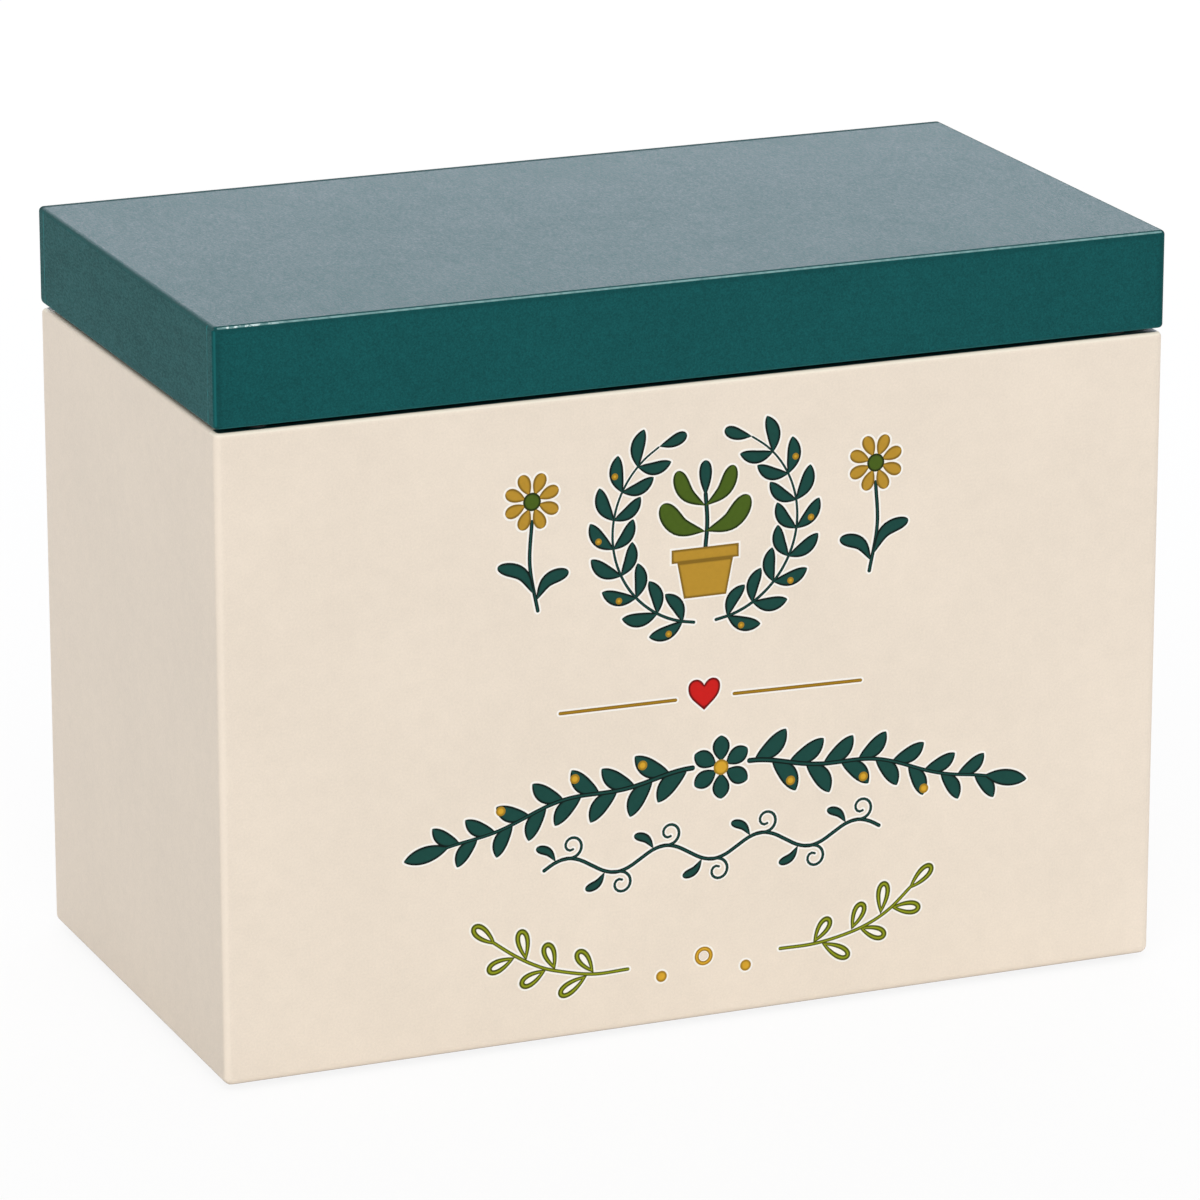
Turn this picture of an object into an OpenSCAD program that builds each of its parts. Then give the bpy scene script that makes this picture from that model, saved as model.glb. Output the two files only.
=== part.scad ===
// Seed organizer box: painted board walls, a hinged lid and lift-out dividers.
// Millimetres. The origin is the middle of the plane that the feet rest on.
// X runs along the box, the front faces -Y and +Z is up. The lid is drawn closed.

/* [Box] */
// Width over the side panels
box_w = 250; // [210:1:310]
// Depth from front to back
box_d = 132; // [110:1:170]
// Height of the walls, from their bottom edge to the rim
body_h = 164; // [130:1:200]
// Height of the lid over the seam
lid_h = 25; // [20:1:40]
// Open seam between the rim and the closed lid
seam_gap = 1; // [0.8:0.05:1.8]

/* [Boards] */
// Thickness of the walls, the lid's frame and the lid's top
wall_t = 9; // [7.5:0.5:12]
// Thickness of the base
base_t = 6; // [4:0.5:9]
// Depth of the rebates that take the side panels and the base
rebate_d = 4.5; // [3:0.5:5.5]
// Room for glue round a board in its rebate
glue_gap = 0.05; // [0:0.01:0.1]

/* [Rounded edges] */
// Upright corners of the body
body_corner_r = 2; // [1:0.1:4]
// Bottom edge of the body
bottom_edge_r = 2.2; // [0.8:0.1:4]
// Outer edge of the rim
rim_edge_r = 1.4; // [0.5:0.1:3]
// Upright corners of the lid
lid_corner_r = 1.4; // [0.8:0.1:4]
// Top edge of the lid
lid_top_edge_r = 1.2; // [0.5:0.1:3]
// Bottom edge of the lid
lid_low_edge_r = 1; // [0.5:0.1:3]

/* [Dividers] */
// How many dividers stand in the box
dividers = 4; // [1:1:6]
// Thickness of a divider
divider_t = 3; // [2:0.5:5]
// How far the dividers stop below the rim
divider_drop = 30; // [15:1:50]
// Depth of the grooves that hold the dividers
groove_d = 3; // [2:0.5:5]
// Clearance on each face of a divider in its groove
groove_clear = 0.25; // [0.15:0.05:0.5]
// Rounded top corners of a divider
divider_corner_r = 6; // [2:0.5:12]
// Radius of the finger scoop in a divider's top edge
scoop_r = 26; // [22:1:34]
// Depth of the finger scoop
scoop_d = 15; // [8:1:20]
// Rounded shoulders of the finger scoop
scoop_shoulder_r = 5; // [2:0.5:8]

/* [Hinges] */
// Length of a hinge along the rim
leaf_l = 28; // [22:1:32]
// Thickness of a leaf
leaf_t = 0.9; // [0.9:0.05:1.2]
// Space between the two leaves of a closed hinge
leaf_gap = 0.2; // [0.1:0.05:0.4]
// Distance of the pin's axis from the back face
hinge_inset = 2.8; // [2.4:0.1:3.2]
// Radius of the knuckles
knuckle_r = 1.5; // [1.4:0.05:1.8]
// Radius of the pin
pin_r = 0.6; // [0.5:0.05:0.75]
// Radial clearance of the pin in the knuckles
pin_clear = 0.05; // [0.02:0.01:0.1]
// Gap between neighbouring knuckles
knuckle_gap = 0.15; // [0.1:0.05:0.3]
// Angle at which the bevelled back edges stop the lid
lid_stop_deg = 95; // [85:1:105]

/* [Screws] */
// Radius of a screw's shank
screw_r = 0.8; // [0.6:0.05:0.9]
// Length of a screw
screw_l = 6; // [5:0.5:8]
// Spacing of the two screws in a leaf
screw_pitch = 17; // [12:0.5:18]

/* [Bumpers and feet] */
// Radius of a rim bumper
bumper_r = 3; // [2:0.25:3.5]
// Radius of a foot
foot_r = 6.5; // [4:0.5:8]
// Thickness of a foot
foot_t = 1.5; // [1:0.25:4]
// Distance of a foot's centre from the outer faces of the box
foot_inset = 16; // [13:1:30]

/* [Hidden] */
$fn = 96;

// How far a cutting shape reaches past what it cuts
over = 1;

// Heights
rim_z = foot_t + body_h;
lid_z = rim_z + seam_gap;
top_z = lid_z + lid_h;
base_top_z = foot_t + base_t;
lid_ceiling_z = top_z - wall_t;

// Inside of the box and its sections
inner_w = box_w - 2 * wall_t;
inner_d = box_d - 2 * wall_t;
section_w = (inner_w - dividers * divider_t) / (dividers + 1);
section_pitch = section_w + divider_t;

// A divider stands a hair above the base and stops a little short of its grooves' bottoms
divider_seat_gap = 0.1;
divider_end_gap = 0.3;
divider_w = inner_d + 2 * (groove_d - divider_end_gap);
divider_h = rim_z - divider_drop - base_top_z - divider_seat_gap;
divider_foot_r = 1;

// Hinge line, in the middle of the seam and of the outermost sections
hinge_x = (inner_w - section_w) / 2;
hinge_y = box_d / 2 - hinge_inset;
hinge_z = rim_z + seam_gap / 2;

// Leaves, let into the rim and the lid's edge
leaf_shoulder = 0.6;
leaf_w = wall_t - hinge_inset - leaf_shoulder;
leaf_side_gap = 0.1;
leaf_bottom = leaf_gap / 2 + leaf_t;

// Knuckles, and the room that they turn in
knuckles = 5;
knuckle_l = (leaf_l - (knuckles - 1) * knuckle_gap) / knuckles;
knuckle_turn_gap = 0.15;
pocket_gap = 0.35;

// Pin, peened over at both ends
pin_head_r = pin_r + 0.45;
pin_head_l = 0.5;
pin_head_gap = 0.05;
pin_l = leaf_l + 2 * pin_head_gap;

// The bevels stop the lid, with a little air left between them at the stop
bevel_air_deg = 0.4;
bevel_deg = lid_stop_deg / 2 + bevel_air_deg;

// Screws: a 90 degree countersunk head with a slot, a shank and a point
screw_head_r = screw_r + 0.7;
screw_head_h = screw_head_r - screw_r;
screw_head_rim = 0.05;
screw_point_l = 1.2;
screw_clear = 0.05;
screw_recess = 0.05;
screw_slot_w = 0.35;
screw_slot_d = 0.35;
screw_y = -(leaf_w + knuckle_r + knuckle_turn_gap) / 2;

// Bumpers sit in the middle of the flat of the front rim and fill the seam but for a hair
bumper_air = 0.1;
bumper_x = box_w / 2 - wall_t - bumper_r;
bumper_y = -(box_d - wall_t - rim_edge_r) / 2;

cream = [0.92, 0.87, 0.8];
teal = [0.1, 0.33, 0.33];
birch = [0.85, 0.72, 0.52];
brass = [0.78, 0.62, 0.3];
pad_dark = [0.19, 0.19, 0.19];
felt = [0.42, 0.38, 0.34];

divider_names = [for (n = [1:dividers]) str("divider_", n)];

// Shared shapes

// What a rounded corner loses: a square corner at the origin less the disc inside it
module corner_waste(r) {
    difference() {
        translate([-over, -over]) square(r + over);
        translate([r, r]) circle(r);
    }
}

// A rectangle on the X axis, centred across it, with one radius for its low corners and one for its high
module rounded_outline(w, h, low_r, high_r) {
    difference() {
        translate([-w / 2, 0]) square([w, h]);
        for (side = [0, 1]) mirror([side, 0]) {
            translate([-w / 2, 0]) corner_waste(low_r);
            translate([-w / 2, h]) mirror([0, 1]) corner_waste(high_r);
        }
    }
}

// A block on the XY plane with rounded edges: its plan, front and side outlines intersected
module rounded_block(w, d, h, upright_r, low_r, high_r) {
    intersection() {
        translate([0, -d / 2, 0]) linear_extrude(h) rounded_outline(w, d, upright_r, upright_r);
        translate([0, d / 2, 0]) rotate([90, 0, 0]) linear_extrude(d)
            rounded_outline(w, h, low_r, high_r);
        translate([-w / 2, 0, 0]) rotate([90, 0, 90]) linear_extrude(w)
            rounded_outline(d, h, low_r, high_r);
    }
}

// A sharp block round the Z axis, from one height to another
module centred_block(w, d, low_z, high_z) {
    translate([-w / 2, -d / 2, low_z]) cube([w, d, high_z - low_z]);
}

// A cylinder along the X axis, centred on the origin
module x_cylinder(r, h) {
    rotate([0, 90, 0]) cylinder(r = r, h = h, center = true);
}

// Outer form

// The groove along the back: its two slopes run together at the hinge line and stop the open lid
module stop_groove() {
    reach = hinge_inset + over;
    rise = reach * tan(bevel_deg);
    translate([-box_w / 2 - over, hinge_y, hinge_z]) rotate([90, 0, 90])
        linear_extrude(box_w + 2 * over) polygon([[0, 0], [reach, -rise], [reach, rise]]);
}

module body_block() {
    difference() {
        translate([0, 0, foot_t])
            rounded_block(box_w, box_d, body_h, body_corner_r, bottom_edge_r, rim_edge_r);
        stop_groove();
    }
}

module lid_block() {
    difference() {
        translate([0, 0, lid_z])
            rounded_block(box_w, box_d, lid_h, lid_corner_r, lid_low_edge_r, lid_top_edge_r);
        stop_groove();
    }
}

// Where the boards lie. The long boards run the full width and the side boards butt into their rebates

// Front (-1) or back (1) board, between two heights
module long_zone(side, low_z, high_z) {
    translate([0, side * (box_d - wall_t + over) / 2, 0])
        centred_block(box_w + 2 * over, wall_t + over, low_z, high_z);
}

// Left (-1) or right (1) board, between two heights, with room round it for the cut that takes it
module side_zone(side, low_z, high_z, room = 0) {
    length = box_d - 2 * (wall_t - rebate_d);
    translate([side * (box_w - wall_t + over - room) / 2, 0, 0])
        centred_block(wall_t + over + room, length + 2 * room, low_z, high_z);
}

// The base, with room round it for the cut that takes it
module base_zone(room = 0) {
    lip = wall_t - rebate_d - room;
    centred_block(box_w - 2 * lip, box_d - 2 * lip, foot_t - over, base_top_z + room);
}

// Hinges. These are drawn on the hinge line with the origin in the hinge's middle, for the body.
// The lid's are their mirror images

module at_hinge(side) {
    translate([side * hinge_x, hinge_y, hinge_z]) children();
}

module for_lid() {
    mirror([0, 0, 1]) children();
}

// Every second knuckle, from the first given, longer at both ends by a gap
module knuckle_row(first, r, gap = 0) {
    for (n = [first:2:knuckles - 1])
        translate([(n - (knuckles - 1) / 2) * (knuckle_l + knuckle_gap), 0, 0])
            x_cylinder(r, knuckle_l + 2 * gap);
}

// A screw with its head up at the origin. A screw hole is the same shape, wider and open at the top
module screw_form(room = 0, top = 0) {
    shank_r = screw_r + room;
    head_r = screw_head_r + room;
    head_low_z = -screw_head_rim - screw_head_h;
    point_z = screw_point_l - screw_l;
    rotate_extrude() polygon([
        [0, top],
        [head_r, top],
        [head_r, -screw_head_rim],
        [shank_r, head_low_z],
        [shank_r, point_z],
        [0, -screw_l - room]
    ]);
}

module at_leaf_screws() {
    for (end = [-1, 1])
        translate([end * screw_pitch / 2, screw_y, -leaf_gap / 2 - screw_recess]) children();
}

// A leaf whose own knuckles start at the first (0) or the second (1)
module hinge_leaf(first) {
    difference() {
        union() {
            translate([-leaf_l / 2, -leaf_w, -leaf_bottom]) cube([leaf_l, leaf_w, leaf_t]);
            knuckle_row(first, knuckle_r);
        }
        knuckle_row(1 - first, knuckle_r + knuckle_turn_gap, knuckle_gap);
        x_cylinder(pin_r + pin_clear, leaf_l + 2 * over);
        at_leaf_screws() screw_form(screw_clear, over);
    }
}

// The pin with its two peened heads
module hinge_pin() {
    x_cylinder(pin_r, pin_l + pin_head_l);
    for (end = [0, 1]) mirror([end, 0, 0]) translate([pin_l / 2, 0, 0]) rotate([0, 90, 0])
        cylinder(r1 = pin_head_r, r2 = pin_r, h = pin_head_l);
}

// What one leaf needs cut from its board: a mortise, the knuckles' pocket and the screw holes
module hinge_seat() {
    translate([-leaf_l / 2 - leaf_side_gap, -leaf_w - leaf_side_gap, -leaf_bottom])
        cube([leaf_l + 2 * leaf_side_gap, leaf_w + leaf_side_gap, leaf_bottom + over]);
    x_cylinder(knuckle_r + pocket_gap, pin_l + 2 * (pin_head_l + pocket_gap));
    at_leaf_screws() screw_form(screw_clear, over);
}

module slotted_screw() {
    difference() {
        screw_form();
        translate([0, 0, -screw_slot_d])
            centred_block(2 * screw_head_r + over, screw_slot_w, 0, screw_slot_d + over);
    }
}

// Dividers

function divider_x(n) = (n - (dividers + 1) / 2) * section_pitch;

// The grooves of all dividers, cut right across the inside
module grooves() {
    for (n = [1:dividers]) translate([divider_x(n), 0, 0])
        centred_block(divider_t + 2 * groove_clear, inner_d + 2 * groove_d, base_top_z, rim_z + over);
}

// The scoop under an edge that lies on the X axis: one big arc that two small ones lead into
module scoop() {
    centre_y = scoop_r - scoop_d;
    shoulder_x = sqrt(
        pow(scoop_r + scoop_shoulder_r, 2) - pow(centre_y + scoop_shoulder_r, 2)
    );
    translate([0, centre_y]) circle(scoop_r);
    for (side = [0, 1]) mirror([side, 0]) difference() {
        polygon([[0, centre_y], [shoulder_x, -scoop_shoulder_r], [shoulder_x, centre_y]]);
        translate([shoulder_x, -scoop_shoulder_r]) circle(scoop_shoulder_r);
    }
}

module divider(n) {
    color(birch)
        translate([divider_x(n) - divider_t / 2, 0, base_top_z + divider_seat_gap])
            rotate([90, 0, 90]) linear_extrude(divider_t) difference() {
                rounded_outline(divider_w, divider_h, divider_foot_r, divider_corner_r);
                translate([0, divider_h]) scoop();
            }
}

// Body

module long_panel(side) {
    difference() {
        intersection() {
            body_block();
            long_zone(side, foot_t - over, rim_z + over);
        }
        for (end = [-1, 1]) side_zone(end, foot_t - over, rim_z + over, glue_gap);
        base_zone(glue_gap);
        grooves();
    }
}

module front_panel() {
    color(cream) long_panel(-1);
}

module back_panel() {
    color(cream) difference() {
        long_panel(1);
        for (side = [-1, 1]) at_hinge(side) hinge_seat();
    }
}

module side_panel(side) {
    color(cream) difference() {
        intersection() {
            body_block();
            side_zone(side, foot_t - over, rim_z + over);
        }
        base_zone(glue_gap);
    }
}

module base_panel() {
    color(cream) intersection() {
        body_block();
        base_zone();
    }
}

// Lid

module lid_top() {
    color(teal) intersection() {
        lid_block();
        centred_block(box_w + 2 * over, box_d + 2 * over, lid_ceiling_z, top_z + over);
    }
}

module lid_long_rail(side) {
    difference() {
        intersection() {
            lid_block();
            long_zone(side, lid_z - over, lid_ceiling_z);
        }
        for (end = [-1, 1]) side_zone(end, lid_z - over, lid_ceiling_z + over, glue_gap);
    }
}

module lid_front_rail() {
    color(teal) lid_long_rail(-1);
}

module lid_back_rail() {
    color(teal) difference() {
        lid_long_rail(1);
        for (side = [-1, 1]) at_hinge(side) for_lid() hinge_seat();
    }
}

module lid_side_rail(side) {
    color(teal) intersection() {
        lid_block();
        side_zone(side, lid_z - over, lid_ceiling_z);
    }
}

// Hinges in place

module body_leaf(side) {
    color(brass) at_hinge(side) hinge_leaf(0);
}

module lid_leaf(side) {
    color(brass) at_hinge(side) for_lid() hinge_leaf(1);
}

module pin(side) {
    color(brass) at_hinge(side) hinge_pin();
}

module body_screws() {
    color(brass) for (side = [-1, 1]) at_hinge(side) at_leaf_screws() slotted_screw();
}

module lid_screws() {
    color(brass) for (side = [-1, 1]) at_hinge(side) for_lid() at_leaf_screws() slotted_screw();
}

// Bumpers and feet

module rim_bumpers() {
    color(pad_dark) for (side = [-1, 1]) translate([side * bumper_x, bumper_y, rim_z])
        cylinder(r = bumper_r, h = seam_gap - bumper_air);
}

module felt_feet() {
    color(felt) for (x = [-1, 1], y = [-1, 1])
        translate([x * (box_w / 2 - foot_inset), y * (box_d / 2 - foot_inset), 0])
            cylinder(r = foot_r, h = foot_t);
}

front_panel();
back_panel();
side_panel(-1);  // left_panel
side_panel(1);  // right_panel
base_panel();
lid_top();
lid_front_rail();
lid_back_rail();
lid_side_rail(-1);  // lid_left_rail
lid_side_rail(1);  // lid_right_rail
for (n = [1:dividers])
    divider(n);
body_leaf(-1);  // left_hinge_body_leaf
lid_leaf(-1);  // left_hinge_lid_leaf
pin(-1);  // left_hinge_pin
body_leaf(1);  // right_hinge_body_leaf
lid_leaf(1);  // right_hinge_lid_leaf
pin(1);  // right_hinge_pin
body_screws();
lid_screws();
rim_bumpers();
felt_feet();
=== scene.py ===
import math

import bmesh
import bpy
from bpy.props import FloatProperty, FloatVectorProperty, IntProperty, PointerProperty
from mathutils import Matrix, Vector
from mathutils.geometry import interpolate_bezier


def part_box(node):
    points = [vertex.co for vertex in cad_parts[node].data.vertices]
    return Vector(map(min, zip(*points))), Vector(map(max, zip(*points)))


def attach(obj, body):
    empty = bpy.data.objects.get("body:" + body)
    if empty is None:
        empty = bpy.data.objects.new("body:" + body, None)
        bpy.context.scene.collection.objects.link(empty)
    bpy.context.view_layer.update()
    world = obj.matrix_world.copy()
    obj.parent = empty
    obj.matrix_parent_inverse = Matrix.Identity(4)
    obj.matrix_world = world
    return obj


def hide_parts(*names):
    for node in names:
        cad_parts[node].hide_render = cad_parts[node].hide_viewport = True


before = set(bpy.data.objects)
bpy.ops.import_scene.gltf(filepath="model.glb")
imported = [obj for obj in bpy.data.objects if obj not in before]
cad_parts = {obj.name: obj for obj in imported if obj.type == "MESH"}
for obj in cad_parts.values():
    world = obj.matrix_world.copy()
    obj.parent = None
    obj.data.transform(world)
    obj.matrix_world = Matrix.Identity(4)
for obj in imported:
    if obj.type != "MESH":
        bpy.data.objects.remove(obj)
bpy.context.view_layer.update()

bl_info = {
    "name": "Garden Seed Box",
    "version": (1, 0, 0),
    "blender": (4, 5, 0),
    "location": "View3D > Sidebar > Seed Box",
    "description": "Builds a painted seed packet box with its hinges, dividers and front print",
    "category": "Add Mesh",
}

MM = 0.001
NEAR = 1e-6
BODY_BOARDS = ("front_panel", "back_panel", "left_panel", "right_panel", "base_panel")
LID_BOARDS = ("lid_top", "lid_front_rail", "lid_back_rail", "lid_left_rail", "lid_right_rail")
DIVIDERS = ("divider_1", "divider_2", "divider_3", "divider_4")
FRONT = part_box("front_panel")
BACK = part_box("back_panel")
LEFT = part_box("left_panel")
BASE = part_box("base_panel")
LID_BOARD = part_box("lid_top")
LID_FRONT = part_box("lid_front_rail")
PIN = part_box("right_hinge_pin")
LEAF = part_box("right_hinge_body_leaf")
HINGE_Y = (PIN[0].y + PIN[1].y) / 2
HINGE_Z = (PIN[0].z + PIN[1].z) / 2
HINGE_X = (LEAF[0].x + LEAF[1].x) / 2
# The side boards end here, in the rebates of the front and back boards
JOINT_Y = LEFT[1].y
RIM = FRONT[1].z
LID_LOW = LID_FRONT[0].z
LID_TOP = LID_BOARD[1].z


def middle_of(node):
    return sum(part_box(node), Vector()) / 2


# Sizes, colours and light that a user may change


def length_setting(name, description, default):
    return FloatProperty(
        name=name, description=description, default=default, unit="LENGTH", subtype="DISTANCE"
    )


def angle_setting(name, description, degrees):
    return FloatProperty(
        name=name, description=description, default=math.radians(degrees),
        unit="ROTATION", subtype="ANGLE",
    )


def colour_setting(name, description, default):
    return FloatVectorProperty(
        name=name, description=description, default=default, size=3, subtype="COLOR", min=0, max=1
    )


class ShellSizes(bpy.types.PropertyGroup):
    """Roundings and wall sizes of the two painted shells."""

    wall: length_setting("Wall", "Thickness of the boards round the sides", FRONT[1].y - FRONT[0].y)
    body_round: length_setting(
        "Body edge radius", "Rounding of the body's upright and bottom edges", 2.1 * MM)
    rim_round: length_setting("Rim radius", "Rounding of the body's outer rim under the lid", 1.4 * MM)
    lid_round: length_setting("Lid corner radius", "Rounding of the lid's upright edges", 1.4 * MM)
    lid_top_round: length_setting("Lid top radius", "Rounding round the top of the lid", 1.2 * MM)
    lid_low_round: length_setting("Lid low radius", "Rounding round the lid's lower edge", 1.0 * MM)
    inner_ease: length_setting(
        "Inner edge easing", "Sanded rounding on the inner edges of the rims", 0.45 * MM)
    groove_wide: length_setting("Groove width", "Width of the grooves that hold the dividers", 3.5 * MM)
    groove_deep: length_setting(
        "Groove depth", "Depth of the divider grooves in the front and back", 3.0 * MM)
    lid_hollow: length_setting("Lid hollow", "Depth of the hollow under the lid", 16.0 * MM)
    stop_slope: angle_setting("Stop slope", "Slope of the back edges that stop the open lid", 47.9)
    round_steps: IntProperty(
        name="Round steps", description="Faces across each rounded edge", default=7, min=2, max=12)


class DividerSizes(bpy.types.PropertyGroup):
    """Outline of one thin plywood divider."""

    top_round: length_setting("Top corner radius", "Rounding of the two upper corners", 6 * MM)
    foot_round: length_setting("Foot corner radius", "Rounding of the two lower corners", 1 * MM)
    scoop_radius: length_setting("Scoop radius", "Radius of the finger scoop in the upper edge", 26 * MM)
    scoop_deep: length_setting("Scoop depth", "Depth of the finger scoop", 15 * MM)
    shoulder_round: length_setting(
        "Shoulder radius", "Rounding where the scoop meets the upper edge", 5 * MM)
    edge_ease: length_setting("Edge easing", "Sanded bevel along the plywood's edges", 0.3 * MM)


class PrintSizes(bpy.types.PropertyGroup):
    """Thickness, line widths and place of the printed front."""

    ink_high: length_setting("Ink height", "How far the ink stands off the paint", 0.09 * MM)
    halo_high: length_setting(
        "Pale line height", "How far the pale outline stands off the paint", 0.04 * MM)
    sheet_step: length_setting(
        "Sheet step", "How much higher each printed shape lies than the one before", 0.0007 * MM)
    halo_wide: length_setting(
        "Pale line width", "Width of the pale line round each printed shape", 0.50 * MM)
    aside: length_setting(
        "Print shift", "How far the print stands to the right of its drawing", -1.1 * MM)
    raised: length_setting("Print rise", "How far the print stands above its drawing", 0.8 * MM)
    dark_wide: length_setting("Dark edge width", "Width over which ink darkens to its edge", 0.80 * MM)


class Colours(bpy.types.PropertyGroup):
    """Paint, ink and material colours, linear."""

    body_paint: colour_setting("Body paint", "Cream paint of the body", (0.815, 0.715, 0.600))
    lid_paint: colour_setting("Lid paint", "Deep green paint of the lid", (0.0062, 0.0812, 0.0832))
    plywood: colour_setting("Plywood", "Pale birch face of the dividers", (0.66, 0.48, 0.27))
    brass: colour_setting("Brass", "Brass of the hinges and screws", (0.72, 0.50, 0.20))
    felt: colour_setting("Felt", "Brown felt of the feet", (0.16, 0.12, 0.09))
    bumper: colour_setting("Bumper", "Black rubber of the two rim bumpers", (0.03, 0.03, 0.03))
    deep_green_ink: colour_setting(
        "Deep green ink", "Main ink of the print", (0.0085, 0.0600, 0.0480))
    leaf_green_ink: colour_setting(
        "Leaf green ink", "Ink of the broad seedling leaves", (0.063, 0.112, 0.010))
    olive_ink: colour_setting("Olive ink", "Ink of the two sprigs", (0.262, 0.300, 0.012))
    gold_ink: colour_setting("Gold ink", "Ink of the dots and berries", (0.660, 0.365, 0.028))
    ochre_ink: colour_setting("Ochre ink", "Ink of the pot and the petals", (0.466, 0.263, 0.028))
    old_gold_ink: colour_setting("Old gold ink", "Darker gold of the two rules", (0.370, 0.200, 0.013))
    red_ink: colour_setting("Red ink", "Ink of the heart", (0.585, 0.012, 0.010))
    pale_line: colour_setting(
        "Pale line", "Off-white line round each printed shape", (0.950, 0.915, 0.850))


class Studio(bpy.types.PropertyGroup):
    """Camera and light of the plain studio."""

    azimuth: angle_setting("Azimuth", "Camera's turn round the box from straight in front", -22.562)
    elevation: angle_setting("Elevation", "Camera's height above the horizon", 16.898)
    lens: FloatProperty(
        name="Lens", description="Focal length in millimetres", default=205.54, unit="CAMERA")
    eye: FloatVectorProperty(
        name="Eye", description="Where the camera stands", default=(-0.6372, -1.5350, 0.5968),
        size=3, unit="LENGTH", subtype="TRANSLATION")
    ambient: FloatProperty(
        name="Ambient", description="Light from all round the studio", default=0.55)
    key: FloatProperty(name="Key", description="Strength of the broad front light", default=1.55)
    back: FloatProperty(
        name="Back", description="Power of the high light behind", default=38.3, unit="POWER")
    floor_white: FloatProperty(
        name="Floor white", description="Share of the floor that shows as pure white",
        default=0.88, min=0, max=1, subtype="FACTOR")


# Materials


class Term:
    """A shader socket that Python's own signs work on."""

    def __init__(self, finish, socket):
        self.finish = finish
        self.socket = socket

    def _maths(self, operation, first, second=0.0):
        return self.finish.node("ShaderNodeMath", {"operation": operation}, {0: first, 1: second})

    def __add__(self, other):
        return self._maths("ADD", self, other)

    def __sub__(self, other):
        return self._maths("SUBTRACT", self, other)

    def __rsub__(self, other):
        return self._maths("SUBTRACT", other, self)

    def __mul__(self, other):
        return self._maths("MULTIPLY", self, other)

    def __abs__(self):
        return self._maths("ABSOLUTE", self)

    __radd__ = __add__
    __rmul__ = __mul__


class Finish:
    """One material, or the world, while its nodes are put together."""

    def __init__(self, name, kind="materials"):
        self.owner = getattr(bpy.data, kind).new(name)
        self.owner.use_nodes = True
        self.tree = self.owner.node_tree
        self.tree.nodes.clear()

    def node(self, kind, settings=None, sockets=None, output=0):
        """Adds any node: its settings first, then its sockets' values or links."""
        made = self.tree.nodes.new(kind)
        for name, value in (settings or {}).items():
            if name == "stops":
                ramp = made.color_ramp
                while len(ramp.elements) < len(value):
                    ramp.elements.new(1.0)
                for element, (place, level) in zip(ramp.elements, value):
                    element.position = place
                    element.color = (level, level, level, 1.0)
            else:
                setattr(made, name, value)
        for key, value in (sockets or {}).items():
            if isinstance(value, Term):
                self.tree.links.new(value.socket, made.inputs[key])
            else:
                made.inputs[key].default_value = value
        return Term(self, made.outputs[output]) if made.outputs else None

    def place(self, shift=(0, 0, 0), stretch=(1, 1, 1)):
        """The piece's own coordinates in metres, shifted and stretched."""
        own = self.node("ShaderNodeTexCoord", output="Object")
        return self.node("ShaderNodeMapping", None, {"Vector": own, "Location": shift, "Scale": stretch})

    def axes(self):
        """The three coordinates as separate terms."""
        own = self.node("ShaderNodeTexCoord", output="Object")
        split = self.node("ShaderNodeSeparateXYZ", None, {"Vector": own})
        return [Term(self, out) for out in split.socket.node.outputs]

    def noise(self, place, size, detail=2.0, rough=0.5, warp=0.0):
        """Soft noise whose blobs are about size metres across, from 0 to 1."""
        return self.node("ShaderNodeTexNoise", None, {
            "Vector": place, "Scale": 1.0 / size, "Detail": detail, "Roughness": rough,
            "Distortion": warp,
        })

    def ramp(self, value, *stops):
        """A value from 0 to 1 taken through stops of (value, level)."""
        return self.node("ShaderNodeValToRGB", {"stops": stops}, {"Fac": value})

    def over(self, distance, reach, *stops):
        """A ramp over a real distance. The reach and the stops' places are in millimetres."""
        shares = [(place / reach, level) for place, level in stops]
        return self.ramp(distance * (1 / (reach * MM)), *shares)

    def mix(self, share, first, second, blend="MIX"):
        """Mixes two colours."""
        colours = [c if isinstance(c, Term) else (*c, 1.0) for c in (first, second)]
        return self.node(
            "ShaderNodeMix",
            {"data_type": "RGBA", "blend_type": blend, "clamp_factor": True},
            {0: share, 6: colours[0], 7: colours[1]},
            output=2,
        )

    def most(self, first, *rest):
        """The greatest of several terms."""
        for other in rest:
            first = self.node("ShaderNodeMath", {"operation": "MAXIMUM"}, {0: first, 1: other})
        return first

    def shell(self, low, high):
        """How far a point is in from the shell's sides, its front or back, its top and its foot."""
        x, y, z = self.axes()
        return -LEFT[0].x - abs(x), -FRONT[0].y - abs(y), high - z, z - low

    def on_edge(self, first, second, radius, core=0.60, fade=0.65):
        """1 along the middle of the rounding between two faces, from how far a point is in from each."""
        return self.ramp((first + second) * (1 / radius), (core, 1.0), (fade, 0.0))

    def seen_directly(self):
        """1 for what the camera sees itself, in gloss or through glass."""
        rays = self.node("ShaderNodeLightPath").socket.node.outputs
        wanted = ("Is Camera Ray", "Is Glossy Ray", "Is Transmission Ray")
        return self.most(*[Term(self, rays[name]) for name in wanted])

    def bump(self, height, distance, strength=1.0, under=None):
        sockets = {"Height": height, "Distance": distance, "Strength": strength}
        if under is not None:
            sockets["Normal"] = under
        return self.node("ShaderNodeBump", None, sockets)

    def close(self, **sockets):
        """Ends the material in one Principled shader, whose sockets are given with _ for spaces."""
        values = {key.replace("_", " "): value for key, value in sockets.items()}
        shader = self.node("ShaderNodeBsdfPrincipled", None, values)
        self.node("ShaderNodeOutputMaterial", None, {"Surface": shader})
        return self.owner


def shade(colour, level):
    """A colour made lighter or darker by a plain factor."""
    return tuple(min(1.0, max(0.0, c * level)) for c in colour)


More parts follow.
